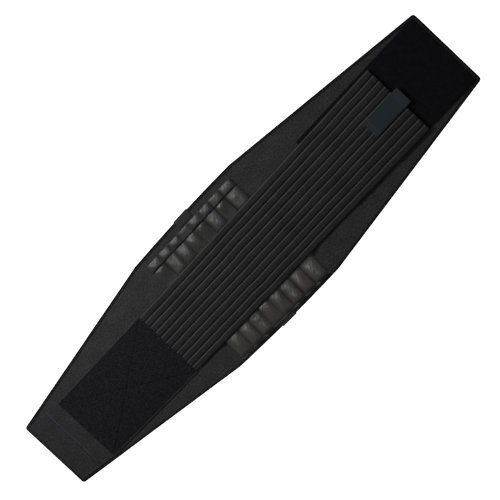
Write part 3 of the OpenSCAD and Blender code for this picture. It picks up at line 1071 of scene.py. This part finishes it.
pad_finish = fabric(
    "brushed_loop", (0.0025, 0.0023, 0.0034), (0.0155, 0.0145, 0.019), 0.9, 0.5 * mm, brushed_loop, 0.04, 0.1)
pad_parts = [
    (pad_low.x, lengths[0][1], wraps[0], ["landing_pad_3"], (True, False)),
    (lengths[0][1], pad_end, wraps[1], ["landing_pad_1", "landing_pad_2"], (False, True)),
]
for n, (a, b, joint, nodes, free) in enumerate(pad_parts):
    pad = cloth(
        f"landing_pad_length_{n + 1}", a, b, 1.5 * mm,
        lambda x: pad_low.y, lambda x: pad_high.y,
        lambda x, y: pad_low.z + lie(x, y) + 0.12 * mm, pad_face, 1.5 * mm, free=free,
    )
    dress(pad, pad_finish, nodes)
    fibres = nap(
        f"landing_pad_fibres_{n + 1}", a, b, lambda x: pad_low.y + 0 * x, lambda x: pad_high.y + 0 * x,
        pad_face, 1.25 * mm, pad_fibre, 40 + n,
    )
    dress(fibres, pad_finish)
    rows = []
    for y in (pad_low.y + pad_border, pad_high.y - pad_border):
        rows.append(straight((a + pad_border * (n == 0), y), (b - pad_border * n, y), pad_face, 0.15 * mm))
    side_x = pad_low.x + pad_border if n == 0 else pad_end - pad_border
    rows.append(straight((side_x, pad_low.y + 4 * mm), (side_x, pad_high.y - 4 * mm), pad_face, 0.15 * mm))
    for side in (-1, 1):
        xs = (max(a, pad_low.x + 5 * mm), min(b, pad_end - 5 * mm))
        ends = [(x, pad_middle.y + side * pad_slope * (x - pad_middle.x)) for x in xs]
        rows.append(straight(*ends, pad_face, 0.15 * mm))
    pad_thread = dress(sew(f"landing_pad_thread_{n + 1}", rows), pad_finish)
    for piece in (pad, fibres, pad_thread):
        bend_at(piece, joint)
    b - a
    f"strap_flap_length_{n + 1}"

# Tension strap: one length of woven elastic, 130 mm wide with eleven flat ribs. It starts under the
# pad's end, is sewn to the flap, and lies over the panel and the right wing to its free end.
strap_nodes = [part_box(f"elastic_{n + 1}") for n in range(6)]
strap_x0, strap_x1 = strap_nodes[0][0].x, strap_nodes[5][1].x
strap_w = 130 * mm
rib_count = 11
rib_w = strap_w / rib_count
# In shares of one rib: how far the first rib is set in, and where its raised cord runs
rib_shift = 0.05
cord_at = 0.80
first_mid, last_mid = [(low + high) / 2 for low, high in (strap_nodes[0], strap_nodes[5])]
strap_slope = (last_mid.y - first_mid.y) / (last_mid.x - first_mid.x)
elastic_t = strap_nodes[0][1].z - strap_nodes[0][0].z
strap_sway = rumple(12, 75 * mm)
gather_wave = rumple(13, 9 * mm)
# Where the strap climbs or drops to the level of this one of its nodes
strap_climbs = (
    (1, -124 * mm, -102 * mm), (3, 102 * mm, 124 * mm), (4, 203 * mm, 215 * mm), (5, 304 * mm, 315 * mm),
)
sewn_rows = {0: (strap_x0 + 4.5 * mm, strap_x0 + 8.5 * mm), 4: (strap_x1 - 58 * mm, strap_x1 - 5.5 * mm)}


def strap_line(x):
    return first_mid.y + strap_slope * (x - first_mid.x)


def rib_sway(x, y):
    """How far the ribs wander off a straight line, most where the strap crosses the middle of the back"""
    most = 0.25 * mm + 0.5 * mm * bell(x - 15 * mm, 45 * mm)
    return most * strap_sway(x, 0.6 * y)


def strap_level(x):
    """The strap's underside: on the cover, up over the panel, down again, over the pile and the hooks"""
    levels = [box[0].z for box in strap_nodes]
    z = levels[0]
    for n, start, end in strap_climbs:
        z = z + (levels[n] - levels[n - 1]) * ramp(x, start, end)
    return z


def strap_under(x, y):
    return strap_level(x) + lie(x, y) + 0.02 * mm


def strap_face(x, y):
    place = (y - strap_line(x) - rib_sway(x, y) + strap_w / 2) / rib_w - rib_shift
    part = place - np.floor(place)
    edge = np.minimum(part, 1 - part)
    crown = 0.22 * mm * (1 - (2 * part - 1) ** 2)
    groove = 0.95 * mm * bell(edge, 0.075)
    cord = 0.30 * mm * bell(part - cord_at, 0.045)
    gathers = 0.05 * mm * gather_wave(x * 1.6, y * 0.35) * (1 - bell(edge, 0.2))
    end_hem = 0.3 * mm * ramp(x, strap_x1 - 5 * mm, strap_x1 - 3.5 * mm)
    rows = 0
    for at in (*sewn_rows[4], *sewn_rows[0]):
        rows = rows + 0.22 * mm * bell(x - at, 0.9 * mm)
    return strap_under(x, y) + elastic_t - 0.3 * mm + crown - groove + cord + gathers + end_hem - rows


def cross_row(x, reach, face, *settings):
    """A row of stitches square across the strap, this far to each side of its middle line"""
    return straight((x, strap_line(x) - reach), (x, strap_line(x) + reach), face, *settings)


def ribbed_elastic(threads, u, v):
    part = ((v + strap_w / 2) / rib_w - rib_shift).math("FRACT")
    # Painted shade: the grooves between the ribs are darkened in colour.
    groove = ((part.ridge(0.0, 0.24) + part.ridge(1.0, 0.24)) * 1.8).math("MINIMUM", 1)
    # Painted highlight: the raised cord below each groove is lightened in colour, as if lit from the strap's
    # upper side; its bump is the cord's real relief.
    cord_and_highlight = (part.ridge(cord_at, 0.17) * 1.7).math("MINIMUM", 1)
    weft = u.wave(1.25 * mm)
    warp = v.wave(0.85 * mm)
    slub = threads.speckle(1.1 * mm, 3)
    patch = threads.speckle(45 * mm, 2)
    knots = threads.speckle(2.6 * mm, 1)
    shade = 0.23 + weft * 0.05 + warp * 0.03 + (slub - 0.5) * 0.35 + (knots - 0.5) * 0.35
    shade = (shade + (patch - 0.5) * 0.2) * (1 - groove * 0.98) + cord_and_highlight * 0.62
    return shade, 0.5 + weft * 0.22 + warp * 0.1 + cord_and_highlight * 0.2


elastic_finish = fabric(
    "ribbed_elastic", (0.0012, 0.0012, 0.0012), (0.053, 0.0505, 0.0515), 0.66, 0.3 * mm, ribbed_elastic,
    0.02, 0.1,
)
named = {j["name"]: j for j in frame["joints"]}
peel = named["strap_peel"]
peel_x = peel["pos_m"][0]
strap_bends = [named[f"strap_bend_{n}"] for n in (1, 2, 3)]
strap_cuts = (strap_x0, 0, peel_x + 28 * mm, lengths[4][0], lengths[5][0], strap_x1)
strap_joints = (wraps[2], None, *strap_bends)
strap_rests = (
    ["strap_flap_length_2", "cover_3", "stay_panel_satin"],
    ["stay_panel_satin"],
    ["stay_panel_satin", "cover_4"],
    ["cover_5", "pile_panel_length_1"],
    ["pile_panel_length_2"],
)
for n, (a, b, joint, below) in enumerate(zip(strap_cuts, strap_cuts[1:], strap_joints, strap_rests)):
    strap = cloth(
        f"strap_length_{n + 1}", a, b, 1.5 * mm,
        lambda x: strap_line(x) - strap_w / 2, lambda x: strap_line(x) + strap_w / 2,
        strap_under, strap_face, 0.72 * mm, edge=0.6 * mm, free=(n == 0, n == 4),
        shift=lambda x, y: strap_line(x) + rib_sway(x, y),
    )
    dress(strap, elastic_finish, [f"elastic_{n + 1}", f"elastic_{n + 2}"])
    stitched = []
    if n in sewn_rows:
        rows = [cross_row(x, 63 * mm, strap_face, 0.08 * mm, 0.6 * mm) for x in sewn_rows[n]]
        stitched.append(dress(sew(f"strap_thread_{n + 1}", rows, 2.6 * mm), thread_finish))
    for piece in (strap, *stitched):
        if joint:
            bend_at(piece, joint)
        else:
            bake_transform(piece)
    b - a

# Strap hooks: a patch of moulded hooks under the strap's free end, as wide as the strap, which
# closes it on the landing pad. Below it lies the pile of the right end.
tip_low, tip_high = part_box("strap_hook")


def tip_edge(side):
    return lambda x: strap_line(x) + side * (strap_w / 2 - 2 * mm)


tip_tape = cloth(
    "strap_hook_tape", tip_low.x, tip_high.x, 3 * mm, tip_edge(-1), tip_edge(1),
    lambda x, y: tip_high.z - 0.42 * mm + lie(x, y), lambda x, y: tip_high.z - 0.02 * mm + lie(x, y),
    3 * mm, edge=0.2 * mm, free=(True, True),
)
tip_hooks = hook_field(
    "strap_hooks", tip_low.x, tip_high.x, tip_edge(-1), tip_edge(1),
    lambda x, y: tip_high.z - 0.40 * mm + lie(x, y), hook_pitch, 0.5 * mm,
)
dress(tip_tape, hook_finish, ["strap_hook"])
dress(tip_hooks, hook_finish)
bend_at(tip_tape, strap_bends[2])
bend_at(tip_hooks, strap_bends[2])

# Pull tab: a length of woven label tape, dark teal between plain grey ends, sewn across the strap
# near its tip. It stands out past the strap's end and is what the wearer takes hold of.
tab_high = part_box("pull_tab")[1]
tab_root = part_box("tab_seam")[0]
tab_turn = named["tab_lift"]["pos_m"][0]
tab_half = 15 * mm
tab_slack = 0.15 * mm
tab_row = tab_root.x + 2.2 * mm


def tab_line(side):
    return lambda x: strap_line(x) + side * tab_half


def tab_crease(x):
    """The label is pressed thin along the line that it turns up on"""
    return 0.5 * mm * bell(x - tab_turn, 0.9 * mm)


def tab_under(x, y):
    return tab_face(x, y) + tab_crease(x) - 0.72 * mm


def tab_face(x, y):
    across = (y - strap_line(x)) / tab_half
    sewn = 0.35 * mm * bell(x - tab_row, 0.8 * mm)
    fold = 0.18 * mm * ramp(x, tab_high.x - 14.5 * mm, tab_high.x - 13 * mm)
    root = 0.5 * mm * (1 - ramp(x, tab_root.x, tab_turn))
    return tab_high.z - 0.12 * mm + lie(x, y) + fold - sewn - root - tab_crease(x) - 0.08 * mm * across**2


def woven_label(threads, u, v):
    ribs = v.wave(0.8 * mm)
    picks = u.wave(1.1 * mm)
    grain = threads.speckle(1.5 * mm)
    plain = 1 - u.ridge((tab_root.x + tab_high.x) / 2 - 2 * mm, 160 * mm).math("GREATER_THAN", 0.68)
    selvedge = v.ridge(-tab_half + 1.2 * mm, 1.2 * mm) + v.ridge(tab_half - 1.2 * mm, 1.2 * mm)
    shade = 0.45 + ribs * 0.1 + picks * 0.06 + (grain - 0.5) * 0.4 - selvedge * 0.25
    return shade, 0.5 + ribs * 0.25 + picks * 0.15, plain * (0.45 + ribs * 0.2)


def label_length(name, x0, x1, step, free):
    return cloth(
        name, x0, x1, step, tab_line(-1), tab_line(1), tab_under, tab_face, 1.5 * mm,
        edge=0.35 * mm, free=free, shift=lambda x, y: strap_line(x),
    )


label_finish = fabric(
    "woven_label", (0.005, 0.0085, 0.0105), (0.0175, 0.0275, 0.034), 0.6, 0.15 * mm, woven_label, 0.02, 0.12,
    other=(0.026, 0.024, 0.028),
)
root = label_length("tab_root", tab_root.x, tab_turn - tab_slack, 0.5 * mm, (True, False))
tab = label_length("pull_tab_label", tab_turn + tab_slack, tab_high.x, 1.5 * mm, (False, True))
dress(root, label_finish, ["tab_seam"])
dress(tab, label_finish, ["pull_tab"])
root_thread = sew("tab_thread", [cross_row(tab_row, 13 * mm, tab_face)], 2.4 * mm)
dress(root_thread, thread_finish)
bend_at(root, strap_bends[2])
bend_at(root_thread, strap_bends[2])
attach(tab, "pull_tab")
